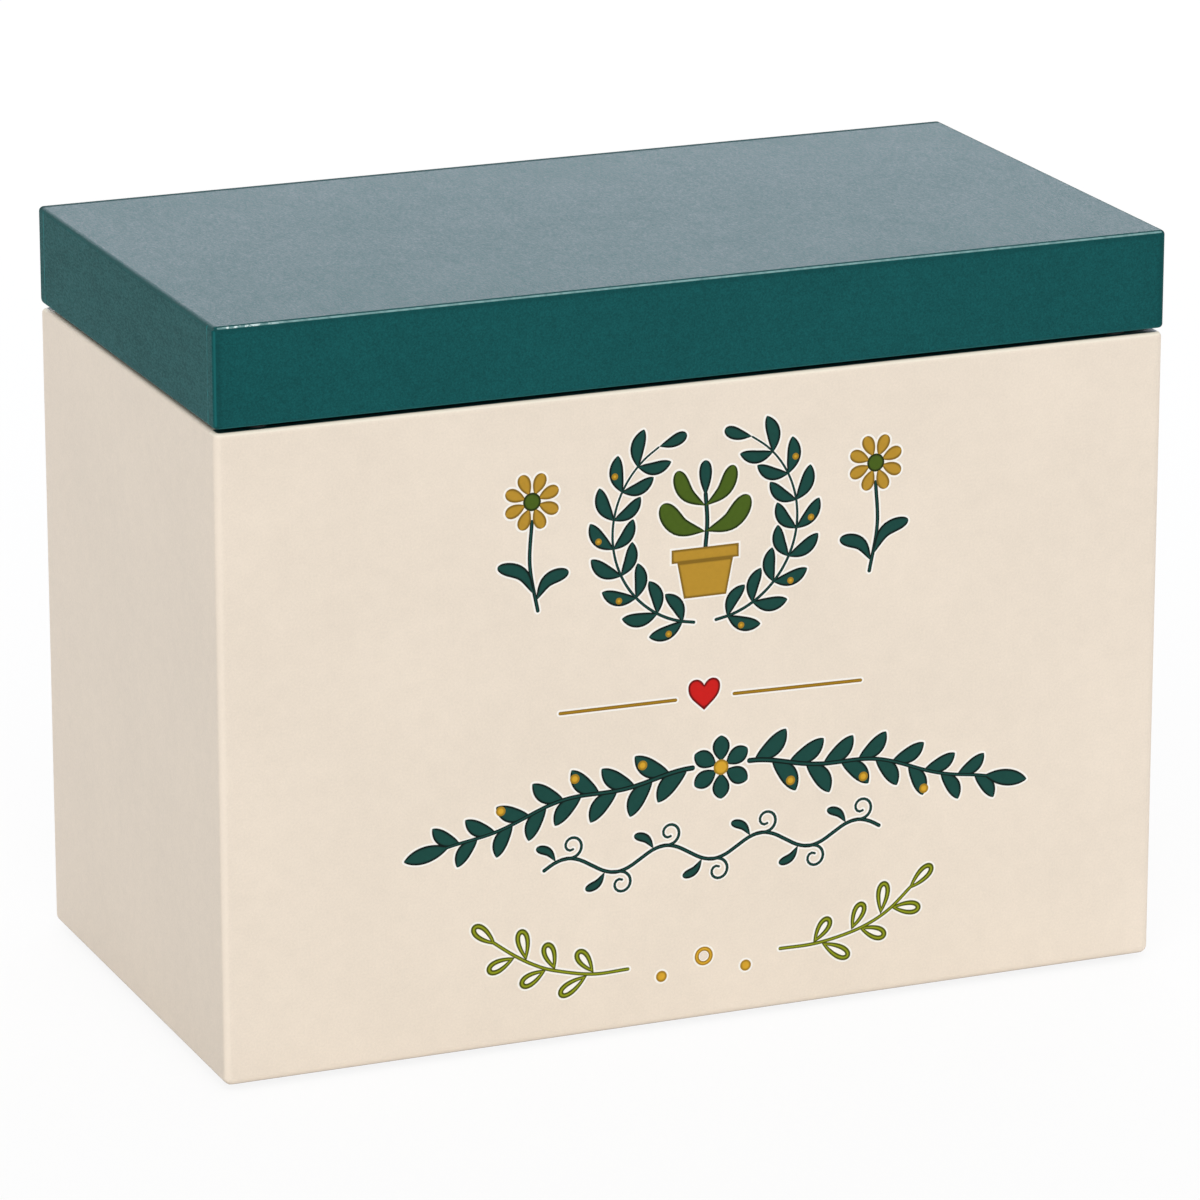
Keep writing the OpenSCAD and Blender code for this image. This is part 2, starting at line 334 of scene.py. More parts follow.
def body_paint(sizes, colours):
    """Cream satin paint: fine mottle, painted highlights on the rim, the upright edges and above the
    foot, painted shade along the foot and low on the ends, and the rim's top edged in dark green as
    painted shade under the lid.
    """
    f = Finish("cream_satin_paint")
    colour = colours.body_paint
    grain = f.noise(f.place(), 0.60 * MM, 1.0, 0.9)
    mottle = f.noise(f.place((0.2, 0.7, 0.1)), 4 * MM, 1.0, 0.6)
    cloud = f.noise(f.place((0.4, 0.1, 0.7)), 38 * MM, 2.0, 0.5)
    tone = grain * 0.5 + mottle * 0.22 + cloud * 0.28
    base = f.mix(f.ramp(tone, (0.3, 0.0), (0.7, 1.0)), shade(colour, 0.94), shade(colour, 1.055))

    side, face, top, foot = f.shell(BASE[0].z, RIM)
    # Painted highlight down the upright edges
    base = f.mix(f.on_edge(side, face, sizes.body_round, 0.62, 0.80) * 0.5, base, shade(colour, 1.10))
    # A painted highlight on the bottom rounding, to offset its shading
    above_foot_highlight = f.over(foot, 2, (0.4, 0.0), (0.8, 1.0), (1.5, 1.0), (2, 0.0))
    base = f.mix(above_foot_highlight * 0.7, base, shade(colour, 1.08))
    # A painted brown shade line along the bottom edges, a little taller on the ends; the same brown
    # covers the whole underside
    end_foot_shade = f.over(foot, 2, (1.0, 0.6), (1.6, 0.0)) * f.over(side, 2.5, (1.5, 1.0), (2.25, 0.0))
    end_foot_shade = end_foot_shade * f.over(face, 2, (0.2, 0.0), (1.8, 1.0))
    foot_shade_line = f.most(f.over(foot, 2, (0.24, 1.0), (0.68, 0.0)), end_foot_shade)
    base = f.mix(foot_shade_line * (0.7 + 0.3 * grain), base, (0.290, 0.200, 0.125))
    # Painted shade: the two ends grow darker towards the bottom
    low_end_shade = f.over(foot, 200, (0, 1.0), (170, 0.0)) * f.over(side, 1, (0.1, 1.0), (0.3, 0.0))
    base = f.mix(low_end_shade, base, (0.94, 0.94, 0.94), "MULTIPLY")

    x, y, z = f.axes()
    long_boards = f.over(abs(y) - JOINT_Y, 1, (0, 0.0), (0.1, 1.0))
    # A painted highlight along the rounding of the front and back rims
    rim_highlight = f.over(top, 2, (0.56, 1.0), (0.88, 0.0)) * long_boards
    base = f.mix(rim_highlight * 0.5, base, shade(colour, 1.32))
    # The outer strip of the front and back rims' top in dark green: painted shade, so the gap under the
    # closed lid reads black
    green = f.over(top, 2, (0.024, 1.0), (0.056, 0.0)) * long_boards
    base = f.mix(green, base, shade(colours.lid_paint, 0.5))

    bump = f.bump(grain * 0.6 + mottle * 0.4, 0.014 * MM)
    long_wave = f.noise(f.place((0.2, 0.5, 0.3)), 7 * MM, 1.0, 0.4)
    return f.close(
        Base_Color=base, Roughness=0.42 + 0.08 * cloud + 0.08 * grain,
        Normal=f.bump(long_wave, 0.02 * MM, 1.0, bump), IOR=1.5, Specular_IOR_Level=0.25,
    )


def lid_paint(sizes, colours):
    """Deep green satin paint with a fine leathery grain, lighter painted ends, painted highlights and a
    painted glint along the edges, and painted shade beside them and on the back and right roundings.
    """
    f = Finish("green_satin_paint")
    colour = colours.lid_paint
    brushed = (1.0, 0.36, 1.0)
    grain = f.noise(f.place(stretch=brushed), 0.46 * MM, 1.0, 0.9)
    mottle = f.noise(f.place((0.6, 0.2, 0.9), brushed), 3.0 * MM, 1.0, 0.6)
    cloud = f.noise(f.place((0.9, 0.3, 0.1)), 26 * MM, 2.0, 0.5)
    glint_breakup = f.noise(f.place((0.3, 0.3, 0.3)), 2.6 * MM, 3.0, 0.7)
    tone = grain * 0.72 + mottle * 0.14 + cloud * 0.14
    base = f.mix(f.ramp(tone, (0.3, 0.0), (0.7, 1.0)), shade(colour, 0.74), shade(colour, 1.26))

    # The two ends painted lighter, standing in for the light they catch, with a leathery grain; painted
    # shade beside the edges
    side, face, top, low = f.shell(LID_LOW, LID_TOP)
    lighter_end = f.over(side, 1, (0.1, 1.0), (0.3, 0.0))
    leather = f.ramp(grain * 0.62 + mottle * 0.22 + cloud * 0.16, (0.39, 0.0), (0.61, 1.0))
    base = f.mix(lighter_end, base, f.mix(leather, shade(colour, 1.66), colour))
    shade_beside_edges = f.most(f.over(side, 4, (1.2, 1.0), (2.48, 0.0)), f.over(top, 4, (1.04, 1.0), (2, 0.0)))
    base = f.mix(shade_beside_edges * 0.40, base, shade(colour, 0.55))

    # Painted highlights along the top, upright and low edges, broken up by noise
    upright_r, top_r, low_r = sizes.lid_round, sizes.lid_top_round, sizes.lid_low_round
    upper = f.most(f.on_edge(face, top, top_r), f.on_edge(side, top, top_r, 0.56, 0.60) * 0.4)
    lower = f.most(
        f.on_edge(side, face, upright_r), f.on_edge(face, low, low_r), f.on_edge(side, low, low_r)
    )
    base = f.mix(lower * 0.55, base, shade(colour, 1.9))
    base = f.mix(upper * f.ramp(glint_breakup, (0.34, 0.55), (0.58, 1.0)), base, (0.22, 0.40, 0.40))

    # Painted shade on the roundings at the back and at the right, darker paint with rougher paint there
    x, y, z = f.axes()
    back_shade_line = f.over(face, 4, (2.4, 0.5), (3.0, 0.0)) * f.over(top, 1, (0.3, 1.0), (1, 0.0))
    back_edge_shade = f.over(y, 100, (1, 0.0), (3, 1.0)) * f.most(
        f.on_edge(face, top, top_r, 0.75, 0.95), f.on_edge(side, face, upright_r, 0.75, 0.95), back_shade_line
    )
    beyond = f.over(face - side + 0.5 * MM, 1, (0.25, 0.0), (0.45, 1.0))
    right_edge_shade = f.over(x, 100, (1, 0.0), (3, 1.0)) * f.most(
        f.on_edge(side, top, top_r, 0.80, 0.95), f.on_edge(side, face, upright_r, 0.80, 0.98) * beyond
    )
    back_right_shade = f.most(back_edge_shade, right_edge_shade)
    base = f.mix(back_right_shade * 0.9, base, shade(colour, 0.25))
    # A little neutral grey on the side half of the top's side roundings: a painted reflection, with
    # rougher paint there
    side_edge_sheen = f.over(top - side + 0.2 * MM, 1, (0, 0.0), (0.2, 1.0))
    side_edge_sheen = side_edge_sheen * f.on_edge(side, top, top_r, 0.80, 0.98)
    base = f.mix(side_edge_sheen * 0.13, base, (0.22, 0.25, 0.25))

    # A painted glint in broken dashes along the top edge at the front left corner, and the boards'
    # joints on the ends
    glint_corner = (
        f.over(x - LEFT[0].x, 25, (8.75, 1.0), (18.75, 0.0))
        * f.over(y - FRONT[0].y, 10, (1, 1.0), (2, 0.0))
    )
    glint_dashes = f.ramp(glint_breakup, (0.46, 0.0), (0.52, 1.0))
    base = f.mix(upper * glint_corner * glint_dashes, base, (0.72, 0.86, 0.86))
    joint = (
        f.over(abs(abs(y) - JOINT_Y), 1, (0.12, 1.0), (0.42, 0.0))
        * f.over(side, 1, (0.2, 1.0), (0.4, 0.0))
    )
    base = f.mix(joint * f.ramp(mottle, (0.40, 0.1), (0.60, 0.7)), base, shade(colour, 2.6))

    bump = f.bump(grain * 0.7 + mottle * 0.3, 0.045 * MM)
    long_wave = f.noise(f.place((0.2, 0.5, 0.3)), 7 * MM, 1.0, 0.4)
    bump = f.bump(long_wave, 0.014 * MM, 1.0, bump)
    rough = 0.24 + 0.04 * cloud + 0.05 * mottle + 0.27 * grain
    return f.close(
        Base_Color=base, Roughness=rough + 0.5 * back_right_shade + 0.5 * side_edge_sheen + 0.07 * lighter_end,
        Normal=f.bump(joint, 0.03 * MM, 0.6, bump), IOR=1.5, Specular_IOR_Level=0.05,
    )


def plywood(colours, number):
    """Birch plywood: long grain on the faces, thin layers along the edges."""
    f = Finish(f"birch_plywood_{number}")
    colour = colours.plywood
    middle = middle_of(DIVIDERS[number - 1])
    shift = (-middle.x, 0.037 * number, 0.11 * number)
    grain = f.noise(f.place(shift, (1.0, 1.0, 0.06)), 1.1 * MM, 4.0, 0.6, 0.3)
    broad = f.noise(f.place(shift, (1.0, 1.0, 0.12)), 11 * MM, 2.0, 0.5, 0.6)
    pores = f.noise(f.place(shift, (1.0, 1.0, 0.035)), 0.35 * MM, 2.0, 0.7)
    tone = grain * 0.45 + broad * 0.4 + pores * 0.15
    face = f.mix(f.ramp(tone, (0.32, 0.0), (0.68, 1.0)), shade(colour, 0.80), shade(colour, 1.16))
    x, y, z = f.axes()
    across = abs(x - middle.x)
    cross_ply = f.over(across, 1, (0.42, 1.0), (0.5, 0.0))
    glue_line = f.over(abs(across - 0.48 * MM), 1, (0.03, 1.0), (0.09, 0.0))
    end_grain = f.noise(f.place(shift), 0.5 * MM, 3.0, 0.7)
    layer = f.mix(end_grain, shade(colour, 0.55), shade(colour, 0.82))
    face = f.mix(cross_ply, face, layer)
    face = f.mix(glue_line * 0.8, face, shade(colour, 0.26))
    return f.close(
        Base_Color=face, Roughness=0.58 + 0.14 * grain, IOR=1.5, Specular_IOR_Level=0.35,
        Normal=f.bump(grain * 0.7 + pores * 0.3, 0.03 * MM, 0.8),
    )


def brass(colours, name, level):
    """Stamped brass: drawn lines, a little tarnish, and darker round the screw heads and in their slots.
    """
    f = Finish(name)
    lines = f.noise(f.place(stretch=(0.05, 1.0, 1.0)), 0.12 * MM, 2.0, 0.6)
    tarnish = f.noise(f.place((0.3, 0.2, 0.5)), 3.2 * MM, 3.0, 0.6, 0.4)
    spots = f.ramp(tarnish, (0.52, 0.0), (0.72, 1.0))
    base = f.mix(spots * 0.6, shade(colours.brass, level), (0.42, 0.25, 0.09))
    base = f.mix(lines * 0.25, base, shade((0.85, 0.66, 0.34), level))

    low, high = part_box("body_screws")
    head = (high.y - low.y) / 2
    x, y, z = f.axes()
    across = abs(abs(x) - HINGE_X) - (high.x - head - HINGE_X)
    along = y - (low.y + high.y) / 2
    from_screw = (across * across + along * along) * (0.5 / head ** 2)
    ring = f.ramp(from_screw, (0.43, 0.0), (0.49, 1.0), (0.56, 1.0), (0.66, 0.0))
    deep = f.over(abs(z - HINGE_Z) - (HINGE_Z - high.z), 1, (0.10, 0.0), (0.22, 1.0))
    # Darker round the screw heads and in their slots
    screw_darkening = f.most(ring, f.ramp(from_screw, (0.40, 1.0), (0.44, 0.0)) * deep)
    base = f.mix(screw_darkening * 0.85, base, (0.050, 0.030, 0.012))
    return f.close(
        Base_Color=base, Metallic=1.0, Roughness=0.24 + 0.16 * spots + 0.08 * lines + 0.3 * screw_darkening,
        Normal=f.bump(lines, 0.006 * MM, 0.6),
    )


def felt(colours):
    """Pressed wool felt, matt, with short matted fibres."""
    f = Finish("pressed_felt")
    colour = colours.felt
    fibres = f.noise(f.place(stretch=(1.0, 1.0, 0.4)), 0.30 * MM, 3.0, 0.7, 1.5)
    flocks = f.noise(f.place((0.1, 0.6, 0.2)), 1.6 * MM, 2.0, 0.6)
    base = f.mix(fibres, shade(colour, 0.55), shade(colour, 1.5))
    base = f.mix(flocks * 0.4, base, shade(colour, 0.7))
    return f.close(
        Base_Color=base, Roughness=0.92 + 0.06 * flocks, Normal=f.bump(fibres, 0.08 * MM),
        Specular_IOR_Level=0.15, Sheen_Weight=0.25, Sheen_Roughness=0.6,
    )


def rubber(colours):
    """Black rubber with a dusty skin."""
    f = Finish("soft_rubber")
    dust = f.noise(f.place(), 0.9 * MM, 3.0, 0.6)
    base = f.mix(dust, shade(colours.bumper, 0.75), shade(colours.bumper, 1.5))
    return f.close(
        Base_Color=base, Roughness=0.5 + 0.15 * dust, Normal=f.bump(dust, 0.015 * MM, 0.6),
        Specular_IOR_Level=0.4,
    )


def ink(name, colour, edge_level, spread):
    """Screen ink that darkens towards the edge of each printed shape."""
    f = Finish(name)
    edge = f.node("ShaderNodeAttribute", {"attribute_name": "ink_edge"}, output="Fac")
    cloud = f.noise(f.place(), 1.3 * MM, 3.0, 0.65)
    grain = f.noise(f.place((0.3, 0.0, 0.3)), 0.3 * MM, 2.0, 0.6)
    base = f.mix(cloud * 0.7 + grain * 0.3, shade(colour, 1 - spread), shade(colour, 1 + spread))
    base = f.mix(f.ramp(edge, (0.0, 0.0), (0.30, 0.30), (0.54, 1.0)), base, shade(colour, edge_level))
    return f.close(
        Base_Color=base, Roughness=0.46 + 0.12 * cloud, Normal=f.bump(cloud, 0.01 * MM, 0.7),
        IOR=1.5, Specular_IOR_Level=0.1,
    )


# Mesh helpers


def block(bm, low, high):
    """A plain block between two corners."""
    made = bmesh.ops.create_cube(bm, size=1.0)["verts"]
    bmesh.ops.scale(bm, vec=Vector(high) - Vector(low), verts=made)
    bmesh.ops.translate(bm, vec=(Vector(low) + Vector(high)) / 2, verts=made)


def verts_in(geometry):
    """The vertices among what an operator gave back."""
    return [item for item in geometry if isinstance(item, bmesh.types.BMVert)]


def each_once(items):
    """The items without repeats, in an order that is the same each run."""
    return list(dict.fromkeys(items))


def at_level(item, z):
    return all(abs(v.co.z - z) < NEAR for v in item.verts)


def is_upright(edge):
    return (edge.verts[0].co - edge.verts[1].co).xy.length < NEAR


def ease(bm, edges, radius, steps):
    """Rounds the edges to one radius."""
    bmesh.ops.bevel(
        bm, geom=list(edges), offset=radius, offset_type="OFFSET", affect="EDGES",
        segments=steps, profile=0.5, material=-1,
    )


def score(bm, faces, place, across):
    """Cuts the faces along one plane without taking anything away."""
    geometry = each_once(item for face in faces for item in (face, *face.edges, *face.verts))
    bmesh.ops.bisect_plane(bm, geom=geometry, dist=NEAR / 10, plane_co=place, plane_no=across)


def solid(bm, name):
    """Turns a closed bmesh into an object whose place is in its mesh."""
    bmesh.ops.remove_doubles(bm, verts=bm.verts, dist=NEAR / 4)
    bmesh.ops.recalc_face_normals(bm, faces=bm.faces)
    mesh = bpy.data.meshes.new(name)
    bm.to_mesh(mesh)
    bm.free()
    piece = bpy.data.objects.new(name, mesh)
    bpy.context.scene.collection.objects.link(piece)
    return piece


def carve(piece, cutters):
    """Takes the closed cutters out of the piece for good, and drops them."""
    for cutter in cutters:
        cut = piece.modifiers.new("carve", "BOOLEAN")
        cut.operation, cut.solver, cut.object = "DIFFERENCE", "EXACT", cutter
    seen = piece.evaluated_get(bpy.context.evaluated_depsgraph_get())
    old, piece.data = piece.data, bpy.data.meshes.new_from_object(seen)
    piece.modifiers.clear()
    bpy.data.meshes.remove(old)
    piece.data.name = piece.name
    for cutter in cutters:
        bpy.data.objects.remove(cutter)


def finish_piece(piece, body, materials, replaced=(), crease=math.radians(32)):
    """Shades the piece, gives it its materials and puts it on its body."""
    mesh = piece.data
    for material in materials:
        mesh.materials.append(material)
    mesh.shade_smooth()
    mesh.set_sharp_from_angle(angle=crease)
    piece.modifiers.new("even_faces", "WEIGHTED_NORMAL").keep_sharp = True
    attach(piece, body)
    if replaced:
        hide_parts(*replaced)
    return piece


# The painted shells


def hollow_shell(sizes, low, high, mouth, bottom, rounds, grooves):
    """A rounded block hollowed from its mouth to the hollow's bottom, with divider grooves if asked.

    rounds are the radii of the upright edges, the closed side's edges and the mouth's outer edges.
    """
    upright_r, closed_r, mouth_r = rounds
    closed = low.z if mouth == high.z else high.z
    steps = sizes.round_steps
    bm = bmesh.new()
    block(bm, low, high)
    if upright_r == closed_r:
        ease(bm, [e for e in bm.edges if is_upright(e) or at_level(e, closed)], upright_r, steps)
    else:
        ease(bm, [e for e in bm.edges if is_upright(e)], upright_r, steps)
        ease(bm, [e for e in bm.edges if at_level(e, closed)], closed_r, steps)
    ease(bm, [e for e in bm.edges if at_level(e, mouth)], mouth_r, steps)

    inside = Vector((high.x - sizes.wall, high.y - sizes.wall))
    lines = [((side * inside.x, 0, 0), (1, 0, 0)) for side in (-1, 1)]
    lines += [((0, side * inside.y, 0), (0, 1, 0)) for side in (-1, 1)]
    half_groove = sizes.groove_wide / 2
    for middle in grooves:
        lines += [((middle + side * half_groove, 0, 0), (1, 0, 0)) for side in (-1, 1)]
    if grooves:
        lines += [((0, side * (inside.y + sizes.groove_deep), 0), (0, 1, 0)) for side in (-1, 1)]
    for place, across in lines:
        score(bm, [f for f in bm.faces if at_level(f, mouth)], place, across)

    def is_open(face):
        if not at_level(face, mouth):
            return False
        centre = face.calc_center_median()
        in_hollow = abs(centre.x) < inside.x and abs(centre.y) < inside.y
        in_groove = abs(centre.y) < inside.y + sizes.groove_deep and any(
            abs(centre.x - middle) < half_groove for middle in grooves
        )
        return in_hollow or in_groove

    open_faces = [f for f in bm.faces if is_open(f)]
    sunk = verts_in(bmesh.ops.extrude_face_region(bm, geom=open_faces)["geom"])
    bmesh.ops.translate(bm, vec=(0, 0, bottom - mouth), verts=sunk)
    bmesh.ops.delete(bm, geom=[f for f in open_faces if f.is_valid], context="FACES")

    def is_inner_rim(edge):
        return at_level(edge, mouth) and any(abs(f.normal.z) < 0.5 for f in edge.link_faces)

    bm.normal_update()
    ease(bm, [e for e in bm.edges if is_inner_rim(e)], sizes.inner_ease, steps=3)

    up = 1 if mouth == high.z else -1
    slope = Vector((0, math.sin(sizes.stop_slope), up * math.cos(sizes.stop_slope)))
    everything = bm.verts[:] + bm.edges[:] + bm.faces[:]
    cut = bmesh.ops.bisect_plane(
        bm, geom=everything, dist=NEAR / 10, plane_co=(0, HINGE_Y, HINGE_Z), plane_no=slope,
        clear_outer=True,
    )["geom_cut"]
    bmesh.ops.holes_fill(bm, edges=[g for g in cut if isinstance(g, bmesh.types.BMEdge)], sides=0)
    return bm


def hinge_cutters(side_of_seam):
    """The leaf beds and the knuckle pockets of both hinges, as two cutters."""
    bed_half = (LEAF[1].x - LEAF[0].x) / 2 + 0.1 * MM
    bed_deep, bed_reach = 1.0 * MM, 5.7 * MM
    pocket_r, pocket_long, pocket_steps = 1.85 * MM, 29.8 * MM, 48
    near, far = sorted((HINGE_Z, HINGE_Z + side_of_seam * bed_deep))
    along_x = Vector((0, 0, 1)).rotation_difference(Vector((1, 0, 0))).to_matrix()
    beds = bmesh.new()
    pockets = bmesh.new()
    for middle in (-HINGE_X, HINGE_X):
        block(beds, (middle - bed_half, HINGE_Y - bed_reach, near), (middle + bed_half, HINGE_Y, far))
        barrel = bmesh.ops.create_cone(
            pockets, cap_ends=True, segments=pocket_steps, radius1=pocket_r, radius2=pocket_r,
            depth=pocket_long,
        )["verts"]
        bmesh.ops.rotate(pockets, cent=(0, 0, 0), matrix=along_x, verts=barrel)
        bmesh.ops.translate(pockets, vec=(middle, HINGE_Y, HINGE_Z), verts=barrel)
    return [solid(beds, "leaf_beds"), solid(pockets, "knuckle_pockets")]


class SEEDBOX_OT_body(bpy.types.Operator):
    """Build the cream body as one painted skin over its five boards"""

    bl_idname = "seedbox.body"
    bl_label = "Painted body"
    bl_options = {"REGISTER", "UNDO"}

    def execute(self, context):
        sizes = context.scene.seedbox_shell
        low = Vector((LEFT[0].x, FRONT[0].y, FRONT[0].z))
        high = Vector((-LEFT[0].x, BACK[1].y, RIM))
        grooves = [middle_of(node).x for node in DIVIDERS]
        rounds = (sizes.body_round, sizes.body_round, sizes.rim_round)
        bm = hollow_shell(sizes, low, high, high.z, BASE[1].z, rounds, grooves)
        # A fine sunk line round the base board, where it lies in its rebate
        under = [f for f in bm.faces if at_level(f, low.z) and f.normal.z < -0.5]
        to_line = high.x - sizes.body_round - BASE[1].x
        line_wide, line_deep = 0.12 * MM, 0.15 * MM
        for wide, deep in ((to_line, 0), (line_wide, -line_deep), (line_wide, line_deep)):
            bmesh.ops.inset_region(bm, faces=under, thickness=wide, depth=deep, use_even_offset=True)
        piece = solid(bm, "painted_body")
        carve(piece, hinge_cutters(-1))
        paint = body_paint(sizes, context.scene.seedbox_colours)
        finish_piece(piece, "box", [paint], BODY_BOARDS)
        return {"FINISHED"}


class SEEDBOX_OT_lid(bpy.types.Operator):
    """Build the green lid as one painted skin over its five boards"""

    bl_idname = "seedbox.lid"
    bl_label = "Painted lid"
    bl_options = {"REGISTER", "UNDO"}

    def execute(self, context):
        sizes = context.scene.seedbox_shell
        low = Vector((LID_FRONT[0].x, LID_FRONT[0].y, LID_LOW))
        high = Vector((LID_FRONT[1].x, LID_BOARD[1].y, LID_TOP))
        rounds = (sizes.lid_round, sizes.lid_top_round, sizes.lid_low_round)
        bm = hollow_shell(sizes, low, high, low.z, low.z + sizes.lid_hollow, rounds, [])
        piece = solid(bm, "painted_lid")
        carve(piece, hinge_cutters(1))
        paint = lid_paint(sizes, context.scene.seedbox_colours)
        finish_piece(piece, "lid", [paint], LID_BOARDS)
        return {"FINISHED"}


# The dividers


class Outline:
    """Walks round an outline in the YZ plane, leaving edges behind it."""

    def __init__(self, bm, x, y, z):
        self.bm = bm
        self.x = x
        self.end = bm.verts.new((x, y, z))

    def line(self, y, z):
        made = bmesh.ops.extrude_vert_indiv(self.bm, verts=[self.end])["verts"][0]
        made.co = (self.x, y, z)
        self.end = made

    def arc(self, y, z, angle):
        steps = max(4, round(abs(angle) / math.radians(7.5)))
        last = bmesh.ops.spin(
            self.bm, geom=[self.end], cent=(self.x, y, z), axis=(1, 0, 0), angle=angle, steps=steps
        )["geom_last"]
        self.end = verts_in(last)[0]


def divider_board(sizes, low, high):
    """One plywood board with rounded corners and a finger scoop in its upper edge."""
    half = high.y
    quarter = math.pi / 2
    foot, top, shoulder = sizes.foot_round, sizes.top_round, sizes.shoulder_round
    scoop_z = high.z - sizes.scoop_deep + sizes.scoop_radius
    reach = sizes.scoop_radius + shoulder
    drop = scoop_z - (high.z - shoulder)
    shoulder_y = math.sqrt(reach ** 2 - drop ** 2)
    lean = math.atan2(shoulder_y, drop)
    bm = bmesh.new()
    path = Outline(bm, low.x, -half + foot, low.z)
    path.line(half - foot, low.z)
    path.arc(half - foot, low.z + foot, quarter)
    path.line(half, high.z - top)
    path.arc(half - top, high.z - top, quarter)
    path.line(shoulder_y, high.z)
    path.arc(shoulder_y, high.z - shoulder, lean)
    path.arc(0, scoop_z, -2 * lean)
    path.arc(-shoulder_y, high.z - shoulder, lean)
    path.line(-half + top, high.z)
    path.arc(-half + top, high.z - top, quarter)
    path.line(-half, low.z + foot)
    path.arc(-half + foot, low.z + foot, quarter)
    bmesh.ops.remove_doubles(bm, verts=bm.verts, dist=NEAR)
    bmesh.ops.contextual_create(bm, geom=bm.edges)
    moved = verts_in(bmesh.ops.extrude_face_region(bm, geom=bm.faces[:])["geom"])
    bmesh.ops.translate(bm, vec=(high.x - low.x, 0, 0), verts=moved)
    rims = [e for e in bm.edges if abs(e.verts[0].co.x - e.verts[1].co.x) < NEAR]
    ease(bm, rims, sizes.edge_ease, steps=2)
    return bm


class SEEDBOX_OT_dividers(bpy.types.Operator):
    """Build the four lift-out plywood dividers"""

    bl_idname = "seedbox.dividers"
    bl_label = "Plywood dividers"
    bl_options = {"REGISTER", "UNDO"}

    def execute(self, context):
        for number, node in enumerate(DIVIDERS, 1):
            piece = solid(divider_board(context.scene.seedbox_divider, *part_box(node)), f"{node}_board")
            material = plywood(context.scene.seedbox_colours, number)
            finish_piece(piece, node, [material], [node])
        return {"FINISHED"}


# Hinges, screws, bumpers and feet


def softened_copy(node, radius, bend=math.radians(38)):
    """A copy of a CAD node with its triangles merged into faces and its sharp edges eased."""
    bm = bmesh.new()
    bm.from_mesh(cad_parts[node].data)
    bmesh.ops.remove_doubles(bm, verts=bm.verts, dist=2 * NEAR)
    bmesh.ops.dissolve_limit(bm, angle_limit=math.radians(0.6), verts=bm.verts, edges=bm.edges)
    sharp = [e for e in bm.edges if e.is_manifold and e.calc_face_angle(0) > bend]
    bmesh.ops.bevel(
        bm, geom=sharp, offset=radius, offset_type="OFFSET", affect="EDGES",
        segments=1, profile=0.5, material=-1, clamp_overlap=True,
    )
    return solid(bm, f"{node}_brass")


class SEEDBOX_OT_hinges(bpy.types.Operator):
    """Build the two brass butt hinges with their pins and screws"""

    bl_idname = "seedbox.hinges"
    bl_label = "Hinges and screws"
    bl_options = {"REGISTER", "UNDO"}

    def execute(self, context):
        plate = brass(context.scene.seedbox_colours, "drawn_brass", 1.0)
        turned = brass(context.scene.seedbox_colours, "screw_brass", 0.74)
        on_body = {"body_screws": "box", "lid_screws": "lid"}
        for side in ("left", "right"):
            on_body[f"{side}_hinge_body_leaf"] = "box"
            on_body[f"{side}_hinge_lid_leaf"] = "lid"
            on_body[f"{side}_hinge_pin"] = "box"
        for node, body in on_body.items():
            piece = softened_copy(node, 0.06 * MM)
            metal = turned if node.endswith("screws") else plate
            finish_piece(piece, body, [metal], [node], math.radians(50))
        return {"FINISHED"}


def turned_disc(bm, centre, profile, steps):
    """Spins a profile of (radius, height) points in mm round an upright axis into a closed disc."""
    made = [bm.verts.new(Vector(centre) + Vector((radius, 0, high)) * MM) for radius, high in profile]
    edges = [bm.edges.new(pair) for pair in zip(made, made[1:])]
    bmesh.ops.spin(
        bm, geom=made + edges, cent=centre, axis=(0, 0, 1), angle=math.tau, steps=steps, use_merge=True
    )
    bmesh.ops.remove_doubles(bm, verts=bm.verts, dist=NEAR)


class SEEDBOX_OT_pads(bpy.types.Operator):
    """Build the two rim bumpers and the four felt feet"""

    bl_idname = "seedbox.pads"
    bl_label = "Bumpers and feet"
    bl_options = {"REGISTER", "UNDO"}

    def execute(self, context):
        colours = context.scene.seedbox_colours
        low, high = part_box("rim_bumpers")
        bumper_r = 3.0
        dome = (
            (0, 0), (2.9, 0), (bumper_r, 0.12), (2.93, 0.34), (2.7, 0.56), (2.3, 0.74), (1.7, 0.85),
            (0.9, 0.9), (0, 0.9),
        )
        bm = bmesh.new()
        for side in (-1, 1):
            centre = (side * (high.x - bumper_r * MM), (low.y + high.y) / 2, low.z)
            turned_disc(bm, centre, dome, steps=48)
        piece = solid(bm, "rim_bumper_domes")
        finish_piece(piece, "box", [rubber(colours)], ["rim_bumpers"])

        low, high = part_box("felt_feet")
        foot_r = 6.5
        disc = ((0, 0), (5.9, 0), (6.3, 0.12), (foot_r, 0.45), (foot_r, 1.15), (6.4, 1.5), (0, 1.5))
        bm = bmesh.new()
        for x in (low.x + foot_r * MM, high.x - foot_r * MM):
            for y in (low.y + foot_r * MM, high.y - foot_r * MM):
                turned_disc(bm, (x, y, low.z), disc, steps=64)
        finish_piece(solid(bm, "felt_foot_pads"), "box", [felt(colours)], ["felt_feet"])
        return {"FINISHED"}


# The printed front
# Print places are in millimetres: u to the right of the middle, v above the body's bottom edge.

# The least half width of a line, at its very tip
LEAST = 0.01


def on_circle(centre, radius, degrees):
    a = math.radians(degrees)
    return Vector(centre) + Vector((math.cos(a), math.sin(a))) * radius


def circle(centre, radius, steps=40):
    """Points all the way round a circle, anticlockwise."""
    return [on_circle(centre, radius, 360 * step / steps) for step in range(steps)]


